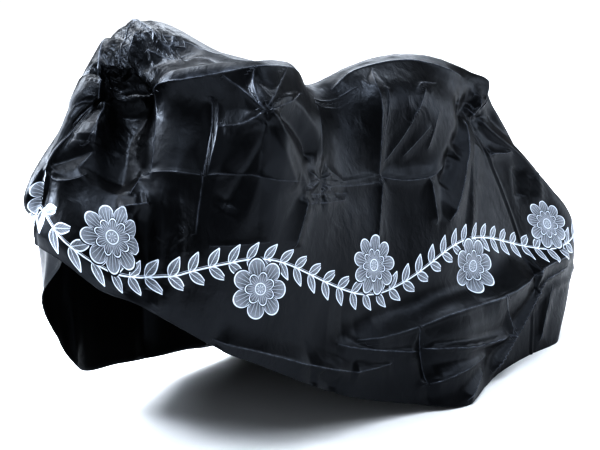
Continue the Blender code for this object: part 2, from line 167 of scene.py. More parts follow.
FOLDS = (
 ("star_to_crest",        6.0, 1.0,  5.0, 0.05, 0.035,  0.010, 1.0, 0.5),
 ("star_to_valley",       6.0, 1.0,  7.3, 0.50, 0.035,  0.012, 1.0, 0.4),
 ("star_down_front",      6.0, 1.0,  4.6, 2.30, 0.060,  0.016, 1.0, 0.3),
 ("star_down_middle",     6.0, 1.1,  5.9, 2.60, 0.050, -0.014, 0.8, 0.4),
 ("star_down_rear",       6.0, 1.0,  7.1, 2.10, 0.060,  0.016, 1.0, 0.4),
 ("wheel_fold_a",         2.3, 1.7,  2.0, 4.90, 0.035,  0.012, 0.4, 1.0),
 ("wheel_fold_b",         2.9, 1.9,  2.7, 4.90, 0.040, -0.014, 0.4, 1.0),
 ("wheel_fold_c",         3.2, 2.0,  3.3, 4.90, 0.035,  0.014, 0.5, 1.0),
 ("chest_fold_front",     4.2, 0.4,  4.1, 2.10, 0.030,  0.008, 0.6, 1.0),
 ("chest_fold_long",      2.6, 1.95, 7.0, 2.00, 0.028,  0.007, 0.8, 0.8),
 ("chest_fold_rear",      7.0, 2.00, 11.0, 1.95, 0.028,  0.007, 0.8, 0.8),
 ("saddle_nose_fold",     8.9, 0.3,  8.9, 2.70, 0.030,  0.009, 1.0, 0.5),
 ("saddle_tail_fold",    11.3, 0.8, 10.7, 2.00, 0.045, -0.014, 1.0, 0.4),
 ("tail_panel_front",    11.7, 1.0, 10.9, 2.75, 0.040,  0.012, 0.6, 0.9),
 ("rear_fan_a",          12.3, 1.0, 12.8, 2.40, 0.030,  0.010, 1.0, 0.6),
 ("rear_fan_b",          12.6, 1.0, 13.4, 2.30, 0.040, -0.012, 1.0, 0.8),
 ("foot_edge_rear",      13.0, 3.7, 10.0, 4.00, 0.035,  0.014, 1.0, 1.0),
 ("foot_edge_front",     10.0, 4.0,  8.2, 4.00, 0.035,  0.012, 1.0, 0.4),
 ("tail_fold_low",       12.9, 3.8, 11.0, 4.95, 0.028,  0.011, 0.8, 1.0),
 ("hem_flute_a",          5.0, 3.9,  4.8, 5.00, 0.040, -0.012, 0.0, 1.0),
 ("hem_flute_b",          7.0, 3.9,  7.2, 5.00, 0.045, -0.016, 0.0, 1.0),
 ("hem_flute_c",          9.4, 4.1,  9.4, 5.00, 0.045, -0.014, 0.0, 1.0),
 ("far_star_front",      21.0, 1.0, 22.3, 2.60, 0.060,  0.020, 1.0, 0.3),
 ("far_star_middle",     21.0, 1.1, 21.0, 3.20, 0.055, -0.018, 0.8, 0.4),
 ("far_star_rear",       21.0, 1.0, 19.4, 2.80, 0.060,  0.020, 1.0, 0.3),
 ("far_crumple",         22.0, 0.3, 22.6, 1.50, 0.040, -0.018, 0.8, 0.6),
 ("far_flute_a",         15.3, 2.2, 15.2, 5.00, 0.070,  0.026, 0.2, 1.0),
 ("far_flute_b",         16.4, 1.4, 16.5, 5.00, 0.080, -0.030, 0.2, 1.0),
 ("far_flute_c",         17.4, 2.0, 17.6, 5.00, 0.070,  0.024, 0.2, 1.0),
 ("far_flute_d",         18.6, 1.4, 18.8, 5.00, 0.080, -0.028, 0.3, 1.0),
 ("far_flute_e",         20.0, 2.4, 20.1, 5.00, 0.060,  0.020, 0.2, 1.0),
 ("far_flute_f",         22.4, 2.0, 22.2, 5.00, 0.060, -0.020, 0.2, 1.0),
 ("rear_flute",          14.2, 2.4, 14.4, 5.00, 0.060, -0.022, 0.3, 1.0),
)

BANDS = 5                       # ridge, shoulder, chest, belt, foot, hem
COLUMNS, ROWS = ((300, 148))
SEAM_LIP, SEAM_WIDTH = 0.0028, 0.012
HEM_DEPTH = 0.020
FLANK_SPREAD, FLANK_EASE = 1.8, -1.30     # a sharp crease lies between two broad, nearly flat flanks


# ------------------------------------------------------------------- loft maths
def hermite_rows(points, where, closed):
    """Smooth curves through points[n, ...] read at fractional indices."""
    n = len(points)
    if closed:
        step = np.linalg.norm(np.roll(points, -1, 0) - points, axis=-1, keepdims=True)
        before, after = np.roll(step, 1, 0), step
        slope_in = (points - np.roll(points, 1, 0)) / np.maximum(before, 1e-6)
        slope_out = (np.roll(points, -1, 0) - points) / np.maximum(after, 1e-6)
        tangent = (slope_in * after + slope_out * before) / np.maximum(before + after, 1e-6)
        i0 = np.floor(where).astype(int) % n
        i1 = (i0 + 1) % n
    else:
        step = np.linalg.norm(points[1:] - points[:-1], axis=-1, keepdims=True)
        slope = (points[1:] - points[:-1]) / np.maximum(step, 1e-6)
        tangent = np.empty_like(points)
        tangent[0], tangent[-1] = slope[0], slope[-1]
        tangent[1:-1] = (slope[:-1] * step[1:] + slope[1:] * step[:-1]) / np.maximum(step[1:] + step[:-1], 1e-6)
        i0 = np.minimum(np.floor(where).astype(int), n - 2)
        i1 = i0 + 1
        step = np.concatenate([step, step[-1:]], 0)
    f = (where - np.floor(where) if closed else where - i0)
    f = f.reshape((-1,) + (1,) * (points.ndim - 1))
    h = step[i0]
    return ((2 * f**3 - 3 * f**2 + 1) * points[i0] + (f**3 - 2 * f**2 + f) * h * tangent[i0]
            + (3 * f**2 - 2 * f**3) * points[i1] + (f**3 - f**2) * h * tangent[i1])


def near_index(station):
    return np.interp(station, [r[1] for r in NEAR_SECTIONS], np.arange(len(NEAR_SECTIONS)))


def far_index(station):
    first = len(NEAR_SECTIONS) - 1
    stations = [NEAR_SECTIONS[0][1]] + [r[1] for r in FAR_SECTIONS][::-1] + [NEAR_SECTIONS[-1][1]]
    places = [first + len(FAR_SECTIONS) + 1 - k for k in range(len(stations))]
    return np.interp(station, stations, places)


def ridge_line(stations):
    """The fold along the top, with its roll over the rear corner."""
    rows = sorted([(r[1], r[2]) for r in NEAR_SECTIONS] + [(r[1], r[2]) for r in CORNER_ROLL])
    where = np.interp(stations, [r[0] for r in rows], np.arange(len(rows)))
    return hermite_rows(np.array([r[1] for r in rows], float), where, False)


RINGS = np.array([r[3:] for r in NEAR_SECTIONS] + [r[2:] for r in FAR_SECTIONS], float)
SECTIONS = len(RINGS)


def loft(stations, levels):
    """The draped sheet as one grid[station, row]: far hem, up over the ridge, down to the near hem."""
    top = ridge_line(stations)
    near = hermite_rows(RINGS, near_index(stations), True)
    far = hermite_rows(RINGS, far_index(stations), True)
    across = np.swapaxes(np.concatenate([far[:, ::-1], top[:, None], near], 1), 0, 1)
    rows = np.concatenate([BANDS - levels[::-1], BANDS + levels[1:]])
    smooth = hermite_rows(across, rows, False)
    far_half = hermite_rows(across[:BANDS + 1], rows[:len(levels)], False)
    near_half = hermite_rows(across[BANDS:], rows[len(levels) - 1:] - BANDS, False)
    sharp = np.interp(stations, *CREST)[None, :, None]                   # the top is folded along the handlebar
    folded = np.concatenate([far_half, near_half[1:]], 0)
    return np.swapaxes(smooth * (1 - sharp) + folded * sharp, 0, 1)


def spread(count, centres, near, extra):
    """count + 1 values from 0 to 1, set closer together near each centre."""
    fine = np.linspace(0, 1, 4001)
    density = np.ones_like(fine)
    for c in centres:
        density += extra * np.exp(-((fine - c) / near) ** 2)
    total = np.concatenate([[0], np.cumsum((density[1:] + density[:-1]) / 2)])
    return np.interp(np.linspace(0, total[-1], count + 1), total, fine)


def level_rows(count):
    """Fractional level numbers, spaced evenly in metres on a typical section, closer at the hem."""
    typical = np.array([0.0, 0.16, 0.41, 0.68, 0.84, 1.05])
    d = spread(count, (1.0,), 0.02, 2.0) * typical[-1]
    return np.interp(d, typical, np.arange(BANDS + 1))


def mirror(grid):
    return grid[:, ::-1]


def unit(v):
    return v / np.maximum(np.linalg.norm(v, axis=-1, keepdims=True), 1e-9)


def normals_of(g):
    """Outward normals of the folded and welded sheet."""
    du = np.empty_like(g)
    du[1:-1] = g[2:] - g[:-2]
    du[0] = g[1] - g[1, ::-1]
    du[-1] = g[-2, ::-1] - g[-2]
    m = g.shape[1] // 2
    du[0, m], du[-1, m] = g[1, m] - g[0, m], g[-1, m] - g[-2, m]
    dv = np.empty_like(g)
    dv[:, 1:-1] = g[:, 2:] - g[:, :-2]
    dv[:, 0], dv[:, -1] = g[:, 1] - g[:, 0], g[:, -1] - g[:, -2]
    n = unit(np.cross(dv, du))
    for c in (0, -1):
        n[c] = unit(n[c] + n[c, ::-1])
    return n


def section_place(section):
    """Side (0 near, 1 far) and station of a section number counted round the bag."""
    section = section % SECTIONS
    grid = np.linspace(0.0, 1.0, 801)
    if section <= len(NEAR_SECTIONS) - 1:
        return 0, float(np.interp(section, near_index(grid), grid))
    return 1, float(np.interp(-section, -far_index(grid), grid))


def sheet_point(section, level):
    side, station = section_place(section)
    pair = loft(np.array([station]), np.array([0.0, max(level, 1e-4)]))
    return pair[0, 2] if side == 0 else pair[0, 0]


def line_on_sheet(s0, l0, s1, l1, bow_s=0.0, bow_l=0.0, count=25):
    """A fold's line: straight in section and level numbers, its middle moved by the bow."""
    return np.array([sheet_point(s0 + (s1 - s0) * k + 4 * bow_s * k * (1 - k), l0 + (l1 - l0) * k + 4 * bow_l * k * (1 - k))
                     for k in np.linspace(0, 1, count)])


def distance_to_line(points, line):
    """Distance to a polyline, and how far along it the nearest place is, 0 to 1."""
    a, b = line[:-1], line[1:]
    ab = b - a
    best = np.full(len(points), 1e9)
    along = np.zeros(len(points))
    for k in range(len(a)):
        t = np.clip(((points - a[k]) @ ab[k]) / max(ab[k] @ ab[k], 1e-12), 0, 1)
        d = np.linalg.norm(points - (a[k] + t[:, None] * ab[k]), axis=1)
        better = d < best
        best[better] = d[better]
        along[better] = (k + t[better]) / len(a)
    return best, along


CREASE_REACH = 0.011             # how far from a crease its fine line is kept


def crease_lines(g, folds):
    """Signed distance to the nearest sharp crease, and its weight, for the film's fine crease lines."""
    points = g.reshape(-1, 3)
    n = normals_of(g).reshape(-1, 3)
    nearest, weight = np.full(len(points), CREASE_REACH), np.zeros(len(points))
    best = np.full(len(points), CREASE_REACH * 3.2)
    for fold in folds:
        name, s0, l0, s1, l1, width, height, a, b = fold[:9]
        crisp, bow_s, bow_l = fold[9:12] if len(fold) > 9 else (0.4, 0.0, 0.0)
        if crisp < 0.7:
            continue
        line = line_on_sheet(s0, l0, s1, l1, bow_s, bow_l)
        reach = CREASE_REACH * 3.2
        close = np.where(((points > line.min(0) - reach) & (points < line.max(0) + reach)).all(1))[0]
        if not len(close):
            continue
        dist, along = distance_to_line(points[close], line)
        k = np.clip((along * (len(line) - 1)).astype(int), 0, len(line) - 2)
        run = line[k + 1] - line[k]
        sign = np.where((np.cross(n[close], run) * (points[close] - line[k])).sum(1) > 0, 1.0, -1.0)
        better = (dist < best[close]) & (along > 0.0) & (along < 1.0)
        pick = close[better]
        best[pick] = dist[better]
        nearest[pick] = (dist * sign)[better]
        fade = np.clip(along / 0.1, 0, 1) * np.clip((1 - along) / 0.1, 0, 1)
        strength = np.sign(height) * (a + (b - a) * along) * (0.3 + 0.7 * fade) * min(1.0, 0.15 + abs(height) * 70)
        weight[pick] = (strength * np.clip(1.6 - dist / CREASE_REACH, 0, 1))[better]
    return nearest.reshape(g.shape[:2]), weight.reshape(g.shape[:2])


def fold_push(points, folds):
    proud, sunk = np.zeros(len(points)), np.zeros(len(points))
    for fold in folds:
        name, s0, l0, s1, l1, width, height, a, b = fold[:9]
        crisp, bow_s, bow_l = fold[9:12] if len(fold) > 9 else (0.5, 0.0, 0.0)
        if len(fold) > 9:
            width, height = width * (1 + FLANK_SPREAD * crisp), height * (1 - FLANK_EASE * crisp)
        line = line_on_sheet(s0, l0, s1, l1, bow_s, bow_l)
        close = np.where(((points > line.min(0) - width) & (points < line.max(0) + width)).all(1))[0]
        if not len(close):
            continue
        dist, along = distance_to_line(points[close], line)
        shape = np.clip(1 - dist / width, 0, 1)
        shape = shape * shape * (3 - 2 * shape) * (1 - crisp) + shape * shape * (0.55 + 0.45 * shape) * crisp
        ends = np.clip(along / 0.10, 0, 1) * np.clip((1 - along) / 0.10, 0, 1)
        amount = height * (a + (b - a) * along) * shape * (0.35 + 0.65 * ends)
        proud[close] = np.maximum(proud[close], amount)
        sunk[close] = np.minimum(sunk[close], amount)
    return proud + sunk


# ------------------------------------------------------------------ surface noise
def hash2(ix, iy, seed):
    h = (ix.astype(np.int64) * 374761393 + iy.astype(np.int64) * 668265263 + seed * 1442695041) & 0xFFFFFFFF
    h = ((h ^ (h >> 13)) * 1274126177) & 0xFFFFFFFF
    return ((h ^ (h >> 16)) & 0xFFFFFF) / float(0xFFFFFF)


def smooth_noise(x, y, seed):
    ix, iy = np.floor(x), np.floor(y)
    fx, fy = x - ix, y - iy
    fx, fy = fx * fx * (3 - 2 * fx), fy * fy * (3 - 2 * fy)
    a, b = hash2(ix, iy, seed), hash2(ix + 1, iy, seed)
    c, d = hash2(ix, iy + 1, seed), hash2(ix + 1, iy + 1, seed)
    return (a * (1 - fx) + b * fx) * (1 - fy) + (c * (1 - fx) + d * fx) * fy - 0.5


def facets(x, y, size, seed):
    """Crumpled film: flat three-cornered facets between random heights, -0.5 to 0.5, meeting in sharp creases."""
    x = x / size + 0.9 * smooth_noise(x / size * 0.8, y / size * 0.8, seed + 1)
    y = y / size + 0.9 * smooth_noise(x * 0.8 + 5.1, y / size * 0.8, seed + 2)
    ix, iy = np.floor(x), np.floor(y)
    fx, fy = x - ix, y - iy
    other = hash2(ix, iy, seed + 3) > 0.5
    fx2 = np.where(other, 1 - fx, fx)
    h00, h10 = hash2(ix, iy, seed), hash2(ix + 1, iy, seed)
    h01, h11 = hash2(ix, iy + 1, seed), hash2(ix + 1, iy + 1, seed)
    a, b = np.where(other, h10, h00), np.where(other, h00, h10)
    c, d = np.where(other, h11, h01), np.where(other, h01, h11)
    lower = a + (b - a) * fx2 + (c - a) * fy
    upper = d + (c - d) * (1 - fx2) + (b - d) * (1 - fy)
    return np.where(fx2 + fy < 1, lower, upper) - 0.5


def crumple(x, y, size, seed):
    """Facets of one size with smaller ones on them."""
    turn = 0.6 + seed
    cx, cy = x * math.cos(turn) - y * math.sin(turn), x * math.sin(turn) + y * math.cos(turn)
    return facets(cx, cy, size, seed) + 0.4 * facets(cy, cx, size * 0.47, seed + 31)


# -------------------------------------------------------- settle the cloth's slack
def stretch_pass(p, rest, axis, stiff):
    for start in (0, 1):
        if axis == 0:
            a, b, r = p[start:-1:2], p[start + 1::2], rest[start::2]
        else:
            a, b, r = p[:, start:-1:2], p[:, start + 1::2], rest[:, start::2]
        d = b - a
        length = np.sqrt((d * d).sum(-1)) + 1e-9
        push = d * ((1 - r / length) * 0.5 * stiff)[..., None]
        a += push
        b -= push


def shear_pass(p, rest1, rest2, stiff):
    for which, rest in ((0, rest1), (1, rest2)):
        for start in (0, 1):
            if which == 0:
                a, b = p[start:-1:2, :-1], p[start + 1::2, 1:]
            else:
                a, b = p[start:-1:2, 1:], p[start + 1::2, :-1]
            r = rest[start::2]
            d = b - a
            length = np.sqrt((d * d).sum(-1)) + 1e-9
            push = d * ((1 - r / length) * 0.25 * stiff)[..., None]
            a += push
            b -= push


def weld(p):
    for c in (0, -1):
        p[c] = (p[c] + p[c, ::-1]) / 2


def upsample(field, shape):
    """Cubic resampling of a grid to a finer one."""
    out = field
    for axis in (0, 1):
        n, m = out.shape[axis], shape[axis]
        where = np.linspace(0, n - 1, m)
        i1 = np.clip(np.floor(where).astype(int), 0, n - 2)
        f = where - i1
        i0, i2, i3 = np.maximum(i1 - 1, 0), i1 + 1, np.minimum(i1 + 2, n - 1)
        f = f.reshape([-1 if k == axis else 1 for k in range(out.ndim)])
        t = lambda i: np.take(out, i, axis)
        a, b, c, d = t(i0), t(i1), t(i2), t(i3)
        out = b + 0.5 * f * (c - a + f * (2 * a - 5 * b + 4 * c - d + f * (3 * (b - c) + d - a)))
    return out


def settle(target, slack_u, slack_v, hold, steps, start, stiff=1.0, bend=0.0):
    """The sheet with a little more length than its outline leaves room for: it buckles into folds."""
    du = np.linalg.norm(target[1:] - target[:-1], axis=-1) * (1 + (slack_u[1:] + slack_u[:-1]) / 2)
    dv = np.linalg.norm(target[:, 1:] - target[:, :-1], axis=-1) * (1 + (slack_v[:, 1:] + slack_v[:, :-1]) / 2)
    both = 1 + (slack_u + slack_v) / 2
    both = both[:-1, :-1]
    d1 = np.linalg.norm(target[1:, 1:] - target[:-1, :-1], axis=-1) * both
    d2 = np.linalg.norm(target[1:, :-1] - target[:-1, 1:], axis=-1) * both
    p = start.copy()
    speed = np.zeros_like(p)
    grip = hold[..., None]
    for k in range(steps):
        before = p.copy()
        p += speed * 0.93
        p += (target - p) * grip
        if bend:
            lap = np.zeros_like(p)
            lap[1:-1] += p[2:] + p[:-2] - 2 * p[1:-1]
            lap[:, 1:-1] += p[:, 2:] + p[:, :-2] - 2 * p[:, 1:-1]
            p[1:-1, 1:-1] += bend * lap[1:-1, 1:-1] * 0.25
        stretch_pass(p, du, 0, stiff)
        stretch_pass(p, dv, 1, stiff)
        shear_pass(p, d1, d2, stiff * 0.7)
        weld(p)
        speed = p - before
    return p


# ------------------------------------------------------------------ make the sheet
# Creases of the film itself: a row for each.  bow_s and bow_l move the middle.
#  name              sec0   lev0   sec1   lev1  width  height  from  to  crisp bow_s bow_l
DETAIL_FOLDS = (
 ("crest",            2.9, 0.10,   7.4, 0.12, 0.050,  0.013, 0.9, 0.9, 0.9,  0.0, -0.05),
 ("crest_hollow",    21.8, 0.15,  19.6, 0.22, 0.045, -0.010, 1.0, 0.5, 0.2,  0.0,  0.0),
 ("top_line_a",      21.5, 0.55,  19.2, 0.32, 0.022,  0.007, 1.0, 0.4, 0.9,  0.0, -0.05),
 ("top_line_b",      21.4, 0.42,  18.8, 0.20, 0.018,  0.005, 1.0, 0.4, 0.9,  0.0,  0.04),
 ("top_line_c",      21.1, 0.34,  20.0, 0.12, 0.016,  0.005, 1.0, 0.3, 0.9,  0.0,  0.0),
 ("cavity_a",          20.7, 0.27, 22.4, 0.38, 0.06, -0.040, 0.6, 1.0, 0.4, 0.0, 0.03),
 ("cavity_b",        22.4, 0.38,  22.9, 0.02, 0.080, -0.0550, 1.0, 1.0, 0.4,  0.0,  0.0),
 ("cavity_c",          2.3, 0.02, 2.1, 2.30, 0.090, -0.056, 1.0, 0.75, 0.3, -0.1, 0.0),
 ("cavity_lip",      21.8, 0.48,  21.0, 0.26, 0.020,  0.008, 0.8, 1.0, 1.0,  0.0,  0.0),
 ("cavity_edge_a",   22.3, 0.95,  23.6, 0.88, 0.045,  0.016, 0.6, 1.0, 0.8,  0.0,  0.05),
 ("cavity_edge_b",   23.6, 0.88,  24.8, 0.30, 0.045,  0.018, 1.0, 1.0, 0.8,  0.0,  0.0),
 ("cavity_edge_c",    0.8, 0.05,   1.0, 1.40, 0.045,  0.018, 1.0, 0.6, 0.8,  0.0,  0.0),
 ("peak_a",          21.6, 0.90,  21.1, 0.32, 0.025,  0.010, 1.0, 0.6, 0.9,  0.1,  0.0),
 ("peak_b",          21.4, 0.85,  22.8, 0.57, 0.022,  0.009, 1.0, 0.4, 0.9,  0.0,  0.0),
 ("peak_c",          21.6, 0.62,  22.5, 0.50, 0.020,  0.009, 1.0, 0.5, 0.9,  0.0,  0.03),
 ("seam_line",         0.0, 0.35, 0.0, 2.05, 0.010, 0.0030, 0.9, 0.8, 1.0, 0.0, 0.0),
 ("slope_line_a",     25.2, 0.33,  25.6, 0.95, 0.016,  0.006, 1.0, 0.7, 1.0,  0.0,  0.0),
 ("slope_line_b",     25.1, 0.42,  25.5, 1.10, 0.014, -0.005, 1.0, 0.6, 0.9,  0.0,  0.0),
 ("slope_line_c",      0.9, 0.80, 0.8, 1.45, 0.016, 0.004, 0.8, 1.0, 1.0, 0.1, 0.0),
 ("slope_line_d",      1.0, 0.95, 0.7, 1.50, 0.014, -0.004, 0.8, 1.0, 0.9, 0.0, 0.0),
 ("front_second",    24.6, 1.30,  24.8, 0.50, 0.014,  0.005, 0.5, 1.0, 1.0,  0.0,  0.0),
 ("front_groove_a",   0.1, 2.05,   1.2, 1.55, 0.028, -0.013, 0.6, 1.0, 0.4,  0.0, -0.05),
 ("front_groove_b",   1.1, 1.55,   2.1, 1.75, 0.028, -0.013, 1.0, 0.5, 0.4,  0.0,  0.0),
 ("front_ridge",     0.1, 2.25,  1.1, 2.10, 0.022, 0.004, 1.0, 0.8, 0.9, 0.0, 0.15),
 ("nose_groove",      0.2, 2.20,   0.0, 3.00, 0.030, -0.013, 1.0, 0.6, 0.3,  0.0,  0.0),
 ("front_vee_a",      1.8, 1.90,   2.4, 2.30, 0.022, -0.009, 0.6, 1.0, 0.6,  0.0,  0.0),
 ("front_vee_b",      2.4, 2.30,   2.6, 2.00, 0.022,  0.009, 1.0, 0.8, 0.8,  0.0,  0.0),
 ("front_lit",        2.2, 2.48,   3.0, 2.35, 0.024,  0.011, 0.7, 1.0, 0.9,  0.0,  0.0),
 ("wheel_dark",       2.6, 2.00,   3.2, 3.95, 0.038, -0.020, 0.7, 1.0, 0.3,  0.15, 0.0),
 ("wheel_left",       2.4, 2.45,   2.9, 3.65, 0.035,  0.012, 0.6, 0.8, 0.5,  0.0,  0.0),
 ("wheel_right",      3.5, 2.20,   3.6, 3.30, 0.030,  0.010, 0.3, 1.0, 0.6,  0.1,  0.0),
 ("front_hem",        0.9, 3.35,   2.6, 4.50, 0.030,  0.007, 0.5, 1.0, 0.5,  0.0,  0.05),
 ("panel_left",        3.1, 0.15, 3.0, 1.95, 0.024, 0.0022, 0.7, 1.0, 1.0, 0.0, 0.0),
 ("panel_mid",        4.4, 0.60,   4.0, 2.60, 0.024, -0.0060, 0.8, 1.0, 0.8, -0.1,  0.0),
 ("panel_mid_edge",   4.5, 0.70,   4.15, 1.95, 0.018,  0.0030, 0.7, 1.0, 1.0, 0.0,  0.0),
 ("pack_row_front",    2.7, 1.97, 7.0, 2.00, 0.022, 0.0022, 1.0, 0.9, 1.0, 0.0, -0.02),
 ("pack_row_mid",      7.0, 2.02, 8.9, 2.04, 0.022, 0.0024, 0.9, 0.9, 1.0, 0.0, 0.0),
 ("pack_row_rear",    8.9, 1.97,  10.5, 1.92, 0.024,  0.0045, 1.0, 1.0, 1.0, 0.0,  0.10),
 ("pack_row_low",     4.4, 2.68,   6.2, 2.60, 0.014,  0.0020, 0.9, 0.7, 1.0, 0.0,  0.0),
 ("knot_a",           7.0, 2.10,   7.7, 1.85, 0.018,  0.0040, 1.0, 0.7, 0.9,  0.0,  0.0),
 ("knot_b",           7.1, 1.85,   7.8, 2.15, 0.018,  0.0040, 1.0, 0.7, 0.9,  0.0,  0.0),
 ("knot_c",           7.5, 1.80,   7.4, 2.25, 0.016, -0.006, 1.0, 0.7, 0.6,  0.0,  0.0),
 ("knot_d",           7.05, 2.22,  8.00, 2.17, 0.012,  0.0030, 1.0, 0.6, 1.0, 0.0,  0.0),
 ("knot_e",           7.15, 2.12,  8.05, 2.10, 0.011, -0.0030, 1.0, 0.6, 1.0, 0.0,  0.0),
 ("knot_f",           7.5, 1.72,   7.95, 1.95, 0.011,  0.0030, 0.8, 0.8, 1.0, 0.0,  0.0),
 ("knot_g",           7.25, 2.20,  7.55, 2.02, 0.010,  0.0030, 0.8, 0.8, 1.0, 0.0,  0.0),
 ("star_a",           6.0, 1.03,   6.1, 0.05, 0.030,  0.010, 1.0, 0.7, 0.9, -0.2,  0.0),
 ("star_b",            6.0, 1.03, 6.8, 0.10, 0.028, 0.004, 1.0, 0.8, 0.9, 0.0, 0.0),
 ("star_c",            6.0, 1.03, 7.1, 0.62, 0.028, 0.004, 1.0, 0.7, 0.9, 0.0, 0.1),
 ("star_d",           6.0, 1.03,   5.0, 0.12, 0.035,  0.009, 1.0, 0.6, 0.7,  0.0,  0.0),
 ("star_dark",        6.0, 1.08,   4.7, 2.33, 0.045, -0.0300, 0.6, 0.6, 0.3,  0.0,  0.1),
 ("star_light",        5.85, 1.08, 6.72, 2.07, 0.050, 0.014, 0.8, 0.7, 0.6, 0.0, 0.0),
 ("star_dark_rear",    6.35, 1.05, 7.15, 1.73, 0.040, -0.028, 0.8, 0.6, 0.3, 0.2, -0.05),
 ("star_left",        6.0, 1.03,   4.3, 1.27, 0.040,  0.008, 0.9, 0.2, 0.7,  0.0,  0.0),
 ("valley_fold",       7.5, 0.40, 7.4, 1.65, 0.030, 0.007, 1.0, 0.6, 0.7, -0.1, 0.0),
 ("valley_fan_a",      7.5, 0.35, 8.4, 0.85, 0.024, 0.0012, 1.0, 0.4, 0.7, 0.0, 0.0),
 ("valley_fan_b",      7.6, 0.25, 8.8, 0.75, 0.022, 0.0012, 1.0, 0.4, 0.7, 0.0, 0.0),
 ("saddle_edge",     8.3, 0.25,  11.3, 0.35, 0.045, 0.010, 0.7, 1.0, 0.9, 0.0, -0.08),
 ("saddle_crease",    9.3, 0.35,   8.9, 1.95, 0.022,  0.0065, 0.9, 1.0, 1.0, -0.15, 0.0),
 ("saddle_crease_b",  9.2, 1.05,   8.95, 1.70, 0.014,  0.0030, 0.8, 0.6, 1.0,  0.0,  0.0),
 ("pack_col_rear",    8.95, 2.00,  8.7, 2.65, 0.024,  0.0060, 1.0, 0.6, 1.0,  0.0,  0.0),
 ("pack_col_tail",    9.9, 2.05,  10.0, 2.55, 0.024,  0.0060, 1.0, 0.7, 1.0,  0.0,  0.0),
 ("wrinkle_a",        9.9, 1.20,   9.0, 1.85, 0.014,  0.0022, 0.7, 1.0, 1.0, 0.0,  0.04),
 ("wrinkle_b",       10.0, 1.50,   9.4, 1.80, 0.013,  0.0018, 0.6, 1.0, 1.0, 0.0,  0.0),
 ("wrinkle_c",       10.1, 1.05,   9.5, 1.50, 0.012,  0.0018, 1.0, 0.6, 1.0, 0.0,  0.0),
 ("wrinkle_d",       10.3, 1.30,   9.9, 1.75, 0.013,  0.0018, 0.7, 0.9, 1.0, 0.0,  0.0),
 ("wrinkle_e",       10.5, 0.80,   9.8, 1.10, 0.014,  0.0018, 0.7, 0.9, 1.0, 0.0,  0.0),
 ("tail_dark_a",     11.8, 0.62,  10.7, 1.80, 0.038, -0.018, 0.8, 1.0, 0.3,  0.15, 0.0),
 ("tail_dark_b",     10.7, 1.80,  10.2, 2.15, 0.034, -0.016, 1.0, 0.8, 0.3,  0.0,  0.0),
 ("mid_slant",        7.0, 2.15,   6.7, 2.65, 0.028,  0.010, 1.0, 0.6, 0.8,  0.0,  0.0),
 ("tri_left",        11.7, 1.10,  10.3, 2.55, 0.036,  0.012, 0.6, 1.0, 0.8,  0.0,  0.12),
 ("tri_soft",        11.8, 1.75,  11.2, 2.30, 0.040,  0.006, 0.7, 0.7, 0.3,  0.0,  0.0),
 ("rear_short",      12.0, 2.02,  12.5, 1.75, 0.018,  0.008, 1.0, 0.6, 1.0,  0.0,  0.05),
 ("rear_soft_a",     12.4, 2.10,  12.2, 2.55, 0.026, -0.010, 1.0, 0.8, 0.3,  0.0,  0.0),
 ("rear_soft_b",     12.7, 2.10,  12.4, 2.60, 0.024,  0.008, 0.8, 0.8, 0.5,  0.0,  0.0),
 ("ear_a",           11.7, 0.60,  12.0, 0.15, 0.020,  0.007, 1.0, 0.6, 0.9,  0.1,  0.0),
 ("ear_b",           11.7, 0.85,  12.5, 0.60, 0.018,  0.006, 1.0, 0.7, 0.9,  0.0,  0.0),
 ("ear_c",           11.7, 0.95,  12.3, 0.90, 0.022, -0.008, 1.0, 0.7, 0.4,  0.0,  0.0),
 ("foot_edge",         8.1, 3.98, 12.0, 3.95, 0.055, 0.030, 0.5, 1.0, 0.8, 0.0, 0.0),
 ("foot_edge_tail",  11.9, 3.95,  12.6, 3.45, 0.05, 0.026, 1.0, 0.8, 0.8, 0.0, 0.0),
 ("foot_second",      7.7, 4.05,   9.3, 4.30, 0.028,  0.011, 0.6, 1.0, 0.8,  0.0,  0.0),
 ("under_dark",        7.5, 3.74, 11.0, 3.62, 0.120, -0.052, 0.4, 0.9, 0.0, 0.0, 0.0),
 ("pack_box_rear",     11.1, 3.95, 11.4, 4.55, 0.020, 0.0108, 1.0, 1.0, 1.0, 0.0, 0.0),
 ("pack_box_low",      11.4, 4.55, 9.3, 4.27, 0.020, 0.0108, 1.0, 1.0, 1.0, 0.0, 0.0),
 ("pack_box_front",    9.3, 3.98, 9.4, 4.73, 0.020, -0.0095, 0.8, 1.0, 1.0, 0.0, 0.0),
 ("low_ridge",        9.4, 4.73,  10.7, 4.60, 0.022,  0.009, 1.0, 0.6, 0.9,  0.0, -0.05),
 ("long_line",         12.7, 3.58, 10.8, 4.87, 0.020, 0.0160, 0.8, 1.0, 1.0, 0.0, 0.15),
 ("rear_upright",    12.4, 4.03,  12.2, 4.87, 0.022,  0.007, 0.6, 1.0, 0.9,  0.0,  0.0),
 ("hem_strip",        4.7, 4.73,   8.0, 4.53, 0.026,  0.009, 0.6, 1.0, 0.7,  0.0, -0.05),
 ("hem_strip_rear",   8.0, 4.53,   8.8, 4.40, 0.026,  0.009, 1.0, 0.5, 0.8,  0.0,  0.0),
 ("hem_scallop",      7.3, 4.67,   7.7, 4.90, 0.030, -0.011, 0.6, 1.0, 0.3,  0.0,  0.05),
 ("corner_fold",     10.0, 4.95,  10.5, 4.72, 0.022,  0.009, 1.0, 0.8, 0.9,  0.0,  0.0),
 ("far_pack_row",    13.5, 2.00,  21.5, 2.00, 0.024,  0.0070, 0.9, 0.9, 1.0, 0.0,  0.0),
 ("far_pack_col_a",  16.0, 0.60,  16.0, 3.60, 0.022,  0.0060, 0.9, 0.9, 1.0, 0.0,  0.0),
